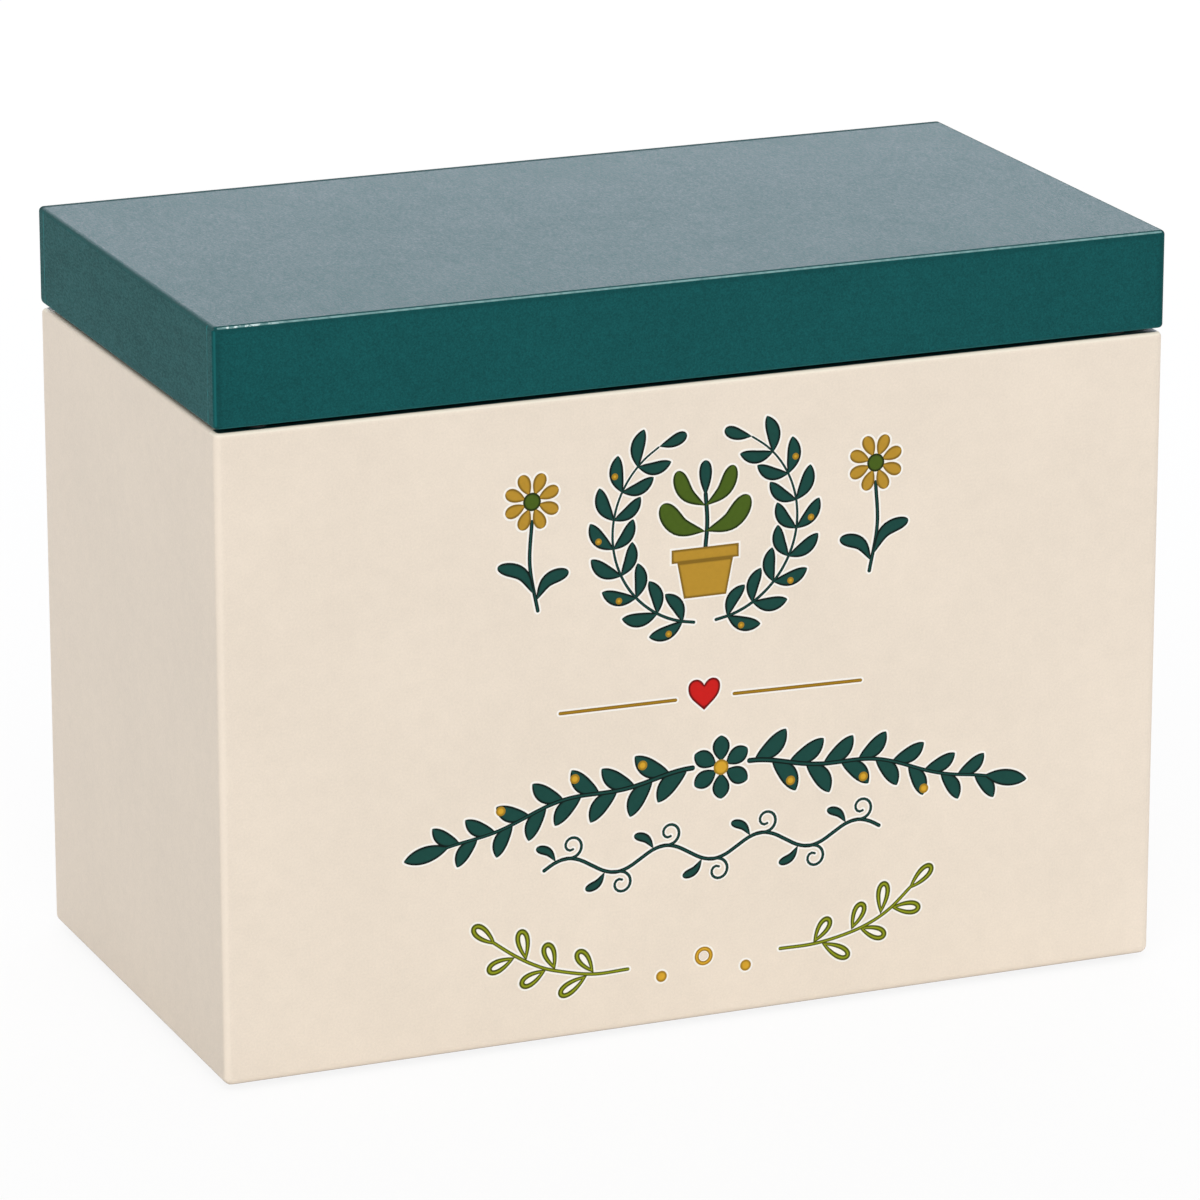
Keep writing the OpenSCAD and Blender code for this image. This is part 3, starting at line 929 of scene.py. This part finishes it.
def inks(context):
    """Every ink of the print by name, made once."""
    c = context.scene.seedbox_colours
    wanted = {
        "pale": ("pale_outline_ink", c.pale_line, 0.97, 0.015),
        "deep": ("deep_green_ink", c.deep_green_ink, 0.10, 0.20),
        "leaf": ("leaf_green_ink", c.leaf_green_ink, 0.25, 0.18),
        "olive": ("olive_ink", c.olive_ink, 0.26, 0.14),
        "gold": ("gold_ink", c.gold_ink, 0.55, 0.10),
        "ochre": ("ochre_ink", c.ochre_ink, 0.50, 0.12),
        "old_gold": ("old_gold_ink", c.old_gold_ink, 0.66, 0.12),
        "red": ("red_ink", c.red_ink, 0.26, 0.10),
    }
    return {key: bpy.data.materials.get(v[0]) or ink(*v) for key, v in wanted.items()}


class Track:
    """A smooth line through (u, v) points, measured along its length."""

    PARTS = 16

    def __init__(self, points):
        points = [Vector(p) for p in points]
        points = [2 * points[0] - points[1]] + points + [2 * points[-1] - points[-2]]
        self.places = []
        for a, b, c, d in zip(points, points[1:], points[2:], points[3:]):
            for step in range(self.PARTS):
                t = step / self.PARTS
                self.places.append(0.5 * (
                    2 * b + (c - a) * t + (2 * a - 5 * b + 4 * c - d) * t ** 2
                    + (3 * b - a - 3 * c + d) * t ** 3
                ))
        self.places.append(points[-2])
        self.marks = [0.0]
        for a, b in zip(self.places, self.places[1:]):
            self.marks.append(self.marks[-1] + (b - a).length)
        self.length = self.marks[-1]

    def at(self, distance):
        """The point at a distance along the line and the direction there."""
        last = len(self.marks) - 2
        index = next((i for i in range(last + 1) if distance < self.marks[i + 1]), last)
        a, b = self.places[index], self.places[index + 1]
        span = self.marks[index + 1] - self.marks[index]
        point = a + (b - a) * ((distance - self.marks[index]) / span)
        before = self.places[max(0, index - 1)]
        after = self.places[min(len(self.places) - 1, index + 2)]
        return point, (after - before).normalized()


class Print:
    """One printed motif: named inks on top of a pale outline, each shape a thin closed sheet."""

    def __init__(self, context, *tints):
        self.sizes = context.scene.seedbox_print
        self.halo, self.dark = self.sizes.halo_wide / MM, self.sizes.dark_wide / MM
        self.tints = ("pale", *tints)
        self.materials = [inks(context)[tint] for tint in self.tints]
        self.bm = bmesh.new()
        self.edge = self.bm.verts.layers.float.new("ink_edge")
        # The height of the next sheet, pale or not
        self.next_high = {True: self.sizes.halo_high, False: self.sizes.ink_high}

    def _sheet(self, faces, tint):
        """Lifts flat faces off the wall and closes them behind."""
        high = self.next_high[tint == "pale"]
        self.next_high[tint == "pale"] += self.sizes.sheet_step
        for v in each_once(v for f in faces for v in f.verts):
            v.co = (
                v.co.x * MM + self.sizes.aside, FRONT[0].y - high,
                v.co.y * MM + FRONT[0].z + self.sizes.raised,
            )
        for face in faces:
            face.material_index = self.tints.index(tint)
        behind = bmesh.ops.extrude_face_region(self.bm, geom=faces, use_keep_orig=True)["geom"]
        sunk = 0.03 * MM
        bmesh.ops.translate(self.bm, vec=(0, high + sunk, 0), verts=verts_in(behind))

    def _ribbon(self, track, columns, width_at, tint, ends=False):
        """Bends a narrow grid along the track. width_at gives a column's distance and half width."""
        made = bmesh.ops.create_grid(self.bm, x_segments=columns, y_segments=3, size=1.0)["verts"]
        for v in made:
            t = (v.co.x + 1) / 2
            distance, half = width_at(t)
            point, ahead = track.at(distance)
            # The grid's four rows stand at 1 and 1/3 to each side
            outer = abs(v.co.y) > 0.5
            reach = half if outer else max(half - self.dark, half * 0.1)
            side = math.copysign(reach, v.co.y)
            at_end = ends and (t < 1e-4 or t > 1 - 1e-4)
            v[self.edge] = 1.0 if outer or at_end else 0.0
            v.co = (point.x - ahead.y * side, point.y + ahead.x * side, 0)
        self._sheet(each_once(f for v in made for f in v.link_faces), tint)

    def _both(self, make, tint):
        """Makes a shape a little larger as its pale outline, and then in ink."""
        make(self.halo, "pale")
        make(0.0, tint)

    def stroke(self, points, wide, tint, taper=1.0):
        """A line with round ends that may thin towards its end."""
        track = Track(points)
        columns = max(24, int(track.length / 0.9) + 12)
        # Share of the columns that each round end takes
        cap = 0.16

        def make(grow, which):
            radius = wide / 2 + grow
            total = track.length + 2 * grow

            def width_at(t):
                if t < cap:
                    turn = t / cap * math.pi / 2
                    return -grow + radius * (1 - math.cos(turn)), max(radius * math.sin(turn), LEAST)
                if t > 1 - cap:
                    turn = (1 - t) / cap * math.pi / 2
                    end = radius * taper
                    return total - grow - end * (1 - math.cos(turn)), max(end * math.sin(turn), LEAST)
                share = (t - cap) / (1 - 2 * cap)
                start, stop = radius, total - radius * taper
                return -grow + start + (stop - start) * share, radius * (1 + (taper - 1) * share)

            self._ribbon(track, columns, width_at, which)

        self._both(make, tint)

    def leaf(self, base, tip, wide, tint, bend=0.0, point=1.0, sharp=0.0):
        """A filled leaf, pointed at its base and as sharp at its tip as asked, that bows to one side."""
        base, tip = Vector(base), Vector(tip)
        along = tip - base
        side = Vector((-along.y, along.x)) * bend
        track = Track([base, base + along * 0.5 + side, tip])

        def swell(a):
            return math.sin(a) * math.sin(a / 2) ** point * abs(math.cos(a / 2)) ** sharp

        peak = max(swell(a / 50) for a in range(1, 157))

        def make(grow, which):
            def width_at(t):
                a = t * math.pi
                half = wide / 2 * swell(a) / peak + grow * math.sin(a) ** 0.5
                distance = -grow + (track.length + 2 * grow) * (1 - math.cos(a)) / 2
                return distance, max(half, LEAST)

            self._ribbon(track, 22, width_at, which)

        self._both(make, tint)

    def open_leaf(self, base, tip, wide, line, tint):
        """A leaf drawn as one closed line round a pale middle, pointed at its base and round outside."""
        base, along = Vector(base), Vector(tip) - Vector(base)
        across = Vector((along.y, -along.x)).normalized()

        def drop(start, stop, width):
            # The product of the two sines is 0.77 at its greatest
            half = width / 2 / 0.77
            turns = [math.tau * step / 44 for step in range(44)]
            return [
                base + along * (start + (stop - start) * (1 - math.cos(a)) / 2)
                + across * (half * math.sin(a) * math.sin(a / 2)) for a in turns
            ]

        rim = drop(0, 1, wide)
        near, far = 1.3 * line / along.length, 1 - line / along.length
        self._disc(rim, self.halo, "pale")
        self._loop(rim, drop(near, far, wide - 1.8 * line), tint)

    def bar(self, base, tip, half_low, half_high, tint):
        """A straight bar with square ends that widens from base to tip."""
        track = Track([base, tip])

        def make(grow, which):
            total = track.length + 2 * grow

            def width_at(t):
                edge = min(self.dark, total / 3)
                distance = (0.0, edge, total / 2, total - edge, total)[round(t * 4)]
                return distance - grow, half_low + (half_high - half_low) * distance / total + grow

            self._ribbon(track, 4, width_at, which, ends=True)

        self._both(make, tint)

    def _moved(self, rim, distance):
        """The rim moved outwards, without the loops that a sharp corner would leave in it."""
        count = len(rim)
        places = []
        for i, here in enumerate(rim):
            along = rim[(i + 1) % count] - rim[i - 1]
            places.append(here + Vector((along.y, -along.x)).normalized() * distance)
        clear = [min((p - q).length for q in rim) > abs(distance) * 0.97 - NEAR for p in places]
        tidy = []
        for i in range(count):
            before = next(places[i - k] for k in range(count) if clear[i - k])
            after = next(places[(i + k) % count] for k in range(count) if clear[(i + k) % count])
            tidy.append((before + after) / 2)
        return tidy

    def _rings(self, rims, tint, filled=True):
        """Bands from rim to rim, each rim with its edge level, and a fill inside the last one."""
        loops = []
        for places, level in rims:
            made = bmesh.ops.create_circle(
                self.bm, cap_ends=False, radius=1.0, segments=len(places)
            )["verts"]
            for v, place in zip(made, places):
                v.co = (*place, 0)
                v[self.edge] = level
            loops.append(each_once(e for v in made for e in v.link_edges))
        faces = []
        for first, second in zip(loops, loops[1:]):
            faces += bmesh.ops.bridge_loops(self.bm, edges=first + second)["faces"]
        if filled:
            faces += bmesh.ops.contextual_create(self.bm, geom=loops[-1])["faces"]
        self._sheet(faces, tint)

    def _disc(self, rim, grow, tint):
        """Fills the rim, grown outwards or not, with a band round it that darkens to its edge."""
        self._rings([(self._moved(rim, grow), 1.0), (self._moved(rim, grow - self.dark), 0.0)], tint)

    def _loop(self, rim, hole, tint):
        """A closed line between a rim and its hole, dark at both sides."""
        levels = ((0.0, 1.0), (0.15, 1.0), (0.42, 0.0), (0.58, 0.0), (0.85, 1.0), (1.0, 1.0))
        rims = [([p.lerp(q, share) for p, q in zip(rim, hole)], level) for share, level in levels]
        self._rings(rims, tint, filled=False)

    def blob(self, centre, rim, tint):
        """A filled shape from its rim's points round the centre, anticlockwise."""
        rim = [Vector(centre) + Vector(p) for p in rim]
        self._both(lambda grow, which: self._disc(rim, grow, which), tint)

    def dot(self, centre, radius, tint):
        self.blob(centre, circle((0, 0), radius), tint)

    def ring(self, centre, radius, wide, tint):
        """A round line with a pale line at both sides, the inner one half as wide."""
        outer, inner = radius + wide / 2, radius - wide / 2
        self._loop(circle(centre, outer + self.halo), circle(centre, inner - self.halo / 2), "pale")
        self._loop(circle(centre, outer), circle(centre, inner), tint)

    def piece(self, name):
        finish_piece(solid(self.bm, name), "box", self.materials, crease=math.radians(50))


def heart_rim():
    """A heart's rim from its tip, anticlockwise: bowed lower sides, round lobes and a sharp notch."""
    notch = (0, 2.35)
    bows = (
        ((0, -4.05), (2.6, -1.6), (4.25, -0.6), (4.25, 1.85), 17),
        ((4.25, 1.85), (4.25, 3.1), (3.45, 4.0), (2.2, 4.0), 12),
        ((2.2, 4.0), (1.35, 4.0), (0.5, 3.45), notch, 11),
    )
    right = []
    for *places, count in bows:
        right += interpolate_bezier(*[Vector(place) for place in places], count)[:-1]
    left = [Vector((-p.x, p.y)) for p in reversed(right[1:])]
    return right + [Vector(notch)] + left


class SEEDBOX_OT_ornaments(bpy.types.Operator):
    """Print the heart with its two rules, the leaf sprigs and the seed dots"""

    bl_idname = "seedbox.ornaments"
    bl_label = "Heart, sprigs and dots"
    bl_options = {"REGISTER", "UNDO"}

    def execute(self, context):
        heart = Print(context, "red", "old_gold")
        heart.blob((1.9, 83.9), heart_rim(), "red")
        heart.stroke([(-36.7, 83.6), (-21.0, 83.45), (-5.3, 83.3)], 0.86, "old_gold")
        heart.stroke([(9.5, 83.1), (27.0, 82.75), (44.5, 82.4)], 0.86, "old_gold")
        heart.piece("heart_and_rules")

        sprigs = Print(context, "olive")
        left_stem = [
            (-54.3, 27.1), (-48.4, 22.7), (-43, 19.5), (-37.8, 17.4), (-27.8, 15.1), (-17.9, 15.1)
        ]
        right_stem = [(22.4, 14.8), (31.8, 14.8), (39.9, 16), (46.7, 18), (52.7, 21.2), (58.9, 26.6)]
        left_leaves = [
            ((-53.4, 26.3), (-59.5, 31.9)), ((-45.4, 21.1), (-46.8, 29.4)), ((-37.8, 17.6), (-40.2, 25)),
            ((-27.5, 15.4), (-31.9, 21.9)), ((-48.4, 22.3), (-55.8, 19.5)), ((-40.1, 18), (-47.1, 14.6)),
            ((-29.2, 15), (-36.8, 10.6)),
        ]
        right_leaves = [
            ((58, 25.7), (64.5, 31.5)), ((31.9, 15), (36.4, 21.3)), ((42.3, 17.1), (45.5, 24.1)),
            ((50.3, 20.2), (51.3, 28.8)), ((34.1, 14.8), (41.9, 10)), ((44.4, 17.4), (51.9, 14.2)),
            ((53.1, 21.6), (61.4, 20.4)),
        ]
        for stem, leaves in ((left_stem, left_leaves), (right_stem, right_leaves)):
            for base, tip in leaves:
                sprigs.open_leaf(base, tip, 3.8, 1.42, "olive")
            sprigs.stroke(stem, 0.9, "olive")
        sprigs.piece("leaf_sprigs")

        dots = Print(context, "gold")
        dots.dot((-9.3, 11.9), 1.45, "gold")
        dots.dot((13.45, 11.7), 1.45, "gold")
        dots.ring((2.1, 15.7), 1.9, 1.08, "gold")
        dots.piece("seed_dots")
        return {"FINISHED"}


class SEEDBOX_OT_emblem(bpy.types.Operator):
    """Print the leaf wreath round a potted seedling, with a flower at each side"""

    bl_idname = "seedbox.emblem"
    bl_label = "Wreath and seedling"
    bl_options = {"REGISTER", "UNDO"}

    def execute(self, context):
        centre = (2.0, 127.0)
        stem_r = 24.5
        wreath = Print(context, "deep", "gold")
        for side in (-1, 1):
            def spot(radius, degrees, side=side):
                return on_circle(centre, radius, 270 + side * degrees)

            stem = [spot(stem_r, degrees) for degrees in range(6, 155, 12)]
            wreath.stroke(stem, 0.8, "deep", taper=0.6)
            for degrees in range(14, 150, 17):
                base = spot(stem_r, degrees)
                wreath.leaf(base, spot(30.6, degrees + 15), 3.7, "deep", -0.10 * side, 0.8, 0.5)
                wreath.leaf(base, spot(19.4, degrees + 19), 3.4, "deep", 0.12 * side, 0.8, 0.5)
            wreath.leaf(spot(stem_r, 150), spot(24.3, 168), 3.2, "deep", 0.05 * side)
            for degrees in (20, 54, 88, 122):
                wreath.dot(spot(28.2, degrees), 0.85, "gold")
        wreath.piece("leaf_wreath")

        pot = Print(context, "deep", "ochre", "leaf")
        u = centre[0]
        pot.stroke([(u, 121.0), (u + 0.5, 128.0), (u, 135.5)], 1.1, "deep")
        pairs = ((125.5, 11.5, 133.5, 5.4, 0.16), (132.0, 7.5, 141.5, 4.2, 0.14))
        for low, reach, high, wide, bend in pairs:
            for side in (-1, 1):
                pot.leaf((u, low), (u + side * reach, high), wide, "leaf", -side * bend)
        pot.leaf((u, 134.5), (u, 143.5), 3.4, "deep")
        pot.bar((u, 109.0), (u, 118.2), 5.6, 7.4, "ochre")
        pot.bar((u, 118.2), (u, 121.6), 8.9, 8.9, "ochre")
        pot.piece("potted_seedling")

        flowers = Print(context, "deep", "ochre", "leaf")
        for side, middle in ((-1, -43.5), (1, 47.5)):
            head = (middle, 138.0)
            stem = [(middle - side * 1.5, 110.0), (middle + side * 0.6, 122.0), (middle, 133.5)]
            flowers.stroke(stem, 0.95, "deep")
            leaves = (((-0.6, 114.5), (9.0, 122.5), 0.18), ((-0.9, 113.0), (-9.5, 119.5), -0.18))
            for (low_u, low_v), (tip_u, tip_v), bend in leaves:
                base, tip = (middle + side * low_u, low_v), (middle + side * tip_u, tip_v)
                flowers.leaf(base, tip, 3.6, "deep", side * bend)
            for turn in range(22, 382, 45):
                base, tip = on_circle(head, 1.9, turn), on_circle(head, 7.4, turn)
                flowers.leaf(base, tip, 3.3, "ochre", point=0.7)
            flowers.dot(head, 2.3, "leaf")
        flowers.piece("side_flowers")
        return {"FINISHED"}


class SEEDBOX_OT_garland(bpy.types.Operator):
    """Print the arched leaf garland and the curling tendril under it"""

    bl_idname = "seedbox.garland"
    bl_label = "Garland and tendril"
    bl_options = {"REGISTER", "UNDO"}

    def execute(self, context):
        middle, crown, rise, reach = 6.5, 64.5, 14.0, 78.0

        def arch(u):
            return Vector((u, crown - rise * ((u - middle) / reach) ** 2))

        garland = Print(context, "deep", "gold")
        for side in (-1, 1):
            line = []
            for d in range(7, 74, 3):
                line.append(arch(middle + side * d) + Vector((0, 0.9 * math.sin(d / 5.4))))
            vine = Track(line)
            for number in range(14):
                base, ahead = vine.at(2.0 + 4.75 * number)
                up = 1 if number % 2 == 0 else -1
                out = Vector((-ahead.y, ahead.x)) * up
                size = 1 - 0.018 * number
                tip = base + (ahead * 8.2 + out * 7.4) * size
                garland.leaf(base, tip, 4.9 * size, "deep", -0.10 * up, 0.8, 0.55)
                if number % 4 == 2:
                    garland.dot(base + ahead * 1.6 - out * 4.6, 1.25, "gold")
            base, ahead = vine.at(vine.length)
            garland.leaf(base - ahead, base + ahead * 11.0, 4.4, "deep", 0.0, 0.8, 0.55)
            garland.stroke(line, 1.35, "deep", taper=0.6)
        head = arch(middle)
        for turn in range(30, 390, 60):
            base, tip = on_circle(head, 1.6, turn), on_circle(head, 8.2, turn)
            garland.leaf(base, tip, 4.6, "deep", 0.0, 0.8, 0.4)
        garland.dot(head, 2.0, "gold")
        garland.piece("leaf_garland")

        tendril = Print(context, "deep")
        start, end, level = -41.0, 50.0, 43.5
        waves, wave_high, curl_r = 3.5, 2.6, 3.1

        def wave(share):
            rise = wave_high * math.sin(math.tau * waves * share)
            return Vector((start + (end - start) * share, level + rise))

        tendril.stroke([wave(i / 28) for i in range(29)], 0.95, "deep")
        for crest in range(round(2 * waves)):
            top = wave((crest + 0.5) / (2 * waves))
            up = 1 if crest % 2 == 0 else -1
            curl = [top - Vector((2.0, up * 0.3))]
            for step in range(15):
                turn = step / 14
                here = on_circle((1.2, curl_r), curl_r * (1 - 0.72 * turn), -90 + 400 * turn)
                curl.append(top + Vector((here.x, up * here.y)))
            tendril.stroke(curl, 0.8, "deep", taper=0.8)
            base, tip = top - Vector((3.0, up * 0.4)), top + Vector((-8.2, up * 3.6))
            tendril.leaf(base, tip, 2.4, "deep", -0.15 * up)
        tendril.piece("curling_tendril")
        return {"FINISHED"}


# The studio


def studio_floor(studio):
    """A pale floor that shows as white to the camera and keeps the box's shadow."""
    reach, below = 12.0, 0.05 * MM
    bm = bmesh.new()
    bmesh.ops.create_grid(bm, x_segments=6, y_segments=6, size=reach)
    bmesh.ops.translate(bm, vec=(0, 0, -below), verts=bm.verts)
    floor = solid(bm, "studio_floor")
    f = Finish("pale_floor")
    pale = f.mix(f.noise(f.place(), 0.8), (0.86, 0.86, 0.86), (0.88, 0.88, 0.88))
    ground = f.node("ShaderNodeBsdfDiffuse", None, {"Color": pale})
    white = f.node("ShaderNodeEmission", None, {"Color": (1, 1, 1, 1), "Strength": 1.0})
    share = f.seen_directly() * studio.floor_white
    surface = f.node("ShaderNodeMixShader", None, {0: share, 1: ground, 2: white})
    f.node("ShaderNodeOutputMaterial", None, {"Surface": surface})
    floor.data.materials.append(f.owner)


def studio_world(studio):
    """Even light all round, seen as plain white by the camera, in gloss and through glass."""
    f = Finish("studio_world", "worlds")
    bpy.context.scene.world = f.owner
    light, white = [
        f.node("ShaderNodeBackground", None, {"Color": (1, 1, 1, 1), "Strength": strength})
        for strength in (studio.ambient, 1.0)
    ]
    surface = f.node("ShaderNodeMixShader", None, {0: f.seen_directly(), 1: light, 2: white})
    f.node("ShaderNodeOutputWorld", None, {"Surface": surface})


def stand(name, data, place, direction):
    """Puts a lamp or a camera at its place, facing along a direction."""
    made = bpy.data.objects.new(name, data)
    made.location = place
    made.rotation_mode = "QUATERNION"
    made.rotation_quaternion = Vector(direction).to_track_quat("-Z", "Y")
    bpy.context.scene.collection.objects.link(made)
    return made


def lamp(name, kind, place, direction, **settings):
    """A lamp that the camera doesn't see, with its own settings."""
    data = bpy.data.lights.new(name, kind)
    for key, value in settings.items():
        setattr(data, key, value)
    stand(name, data, place, direction).visible_camera = False


class SEEDBOX_OT_stage(bpy.types.Operator):
    """Set up the pale floor, the soft studio light and the camera"""

    bl_idname = "seedbox.stage"
    bl_label = "Studio and camera"
    bl_options = {"REGISTER", "UNDO"}

    def execute(self, context):
        studio = context.scene.seedbox_studio
        studio_floor(studio)
        studio_world(studio)
        front_aim, front_spread = (0.30, 0.72, -0.80), math.radians(60)
        lamp("front_light", "SUN", (0, 0, 2), front_aim, energy=studio.key, angle=front_spread)
        back_place, lit_spot = Vector((0.95, 2.3, 0.95)), Vector((0, 0, 0.15))
        cool_white = (0.842, 0.869, 1.0)
        lamp(
            "back_light", "AREA", back_place, lit_spot - back_place, energy=studio.back,
            shape="RECTANGLE", size=3.0, size_y=1.1, color=cool_white,
        )

        data = bpy.data.cameras.new("camera")
        data.lens = studio.lens
        data.sensor_width = 36.0
        data.clip_start, data.clip_end = 0.05, 60.0
        turn, level = studio.azimuth, math.cos(studio.elevation)
        ahead = (-math.sin(turn) * level, math.cos(turn) * level, -math.sin(studio.elevation))
        context.scene.camera = stand("camera", data, studio.eye, ahead)
        context.scene.view_settings.view_transform = "Standard"
        return {"FINISHED"}


# The add-on


class SEEDBOX_PT_panel(bpy.types.Panel):
    """Lists the seed box's pieces and settings in the sidebar"""

    bl_idname = "SEEDBOX_PT_panel"
    bl_label = "Garden Seed Box"
    bl_space_type = "VIEW_3D"
    bl_region_type = "UI"
    bl_category = "Seed Box"

    def draw(self, context):
        for operator in OPERATORS:
            self.layout.operator(operator.bl_idname)
        for group in SETTINGS:
            column = self.layout.column(align=True)
            values = getattr(context.scene, group)
            for name in values.bl_rna.properties.keys():
                if name not in ("rna_type", "name"):
                    column.prop(values, name)


OPERATORS = (
    SEEDBOX_OT_body,
    SEEDBOX_OT_lid,
    SEEDBOX_OT_dividers,
    SEEDBOX_OT_hinges,
    SEEDBOX_OT_pads,
    SEEDBOX_OT_ornaments,
    SEEDBOX_OT_emblem,
    SEEDBOX_OT_garland,
    SEEDBOX_OT_stage,
)
SETTINGS = {
    "seedbox_shell": ShellSizes,
    "seedbox_divider": DividerSizes,
    "seedbox_print": PrintSizes,
    "seedbox_colours": Colours,
    "seedbox_studio": Studio,
}
CLASSES = (*SETTINGS.values(), *OPERATORS, SEEDBOX_PT_panel)


def register():
    for kind in CLASSES:
        bpy.utils.register_class(kind)
    for name, group in SETTINGS.items():
        setattr(bpy.types.Scene, name, PointerProperty(type=group))


def unregister():
    for name in SETTINGS:
        delattr(bpy.types.Scene, name)
    for kind in reversed(CLASSES):
        bpy.utils.unregister_class(kind)


def main():
    register()
    for operator in OPERATORS:
        group, name = operator.bl_idname.split(".")
        getattr(getattr(bpy.ops, group), name)()


if __name__ == "__main__":
    main()
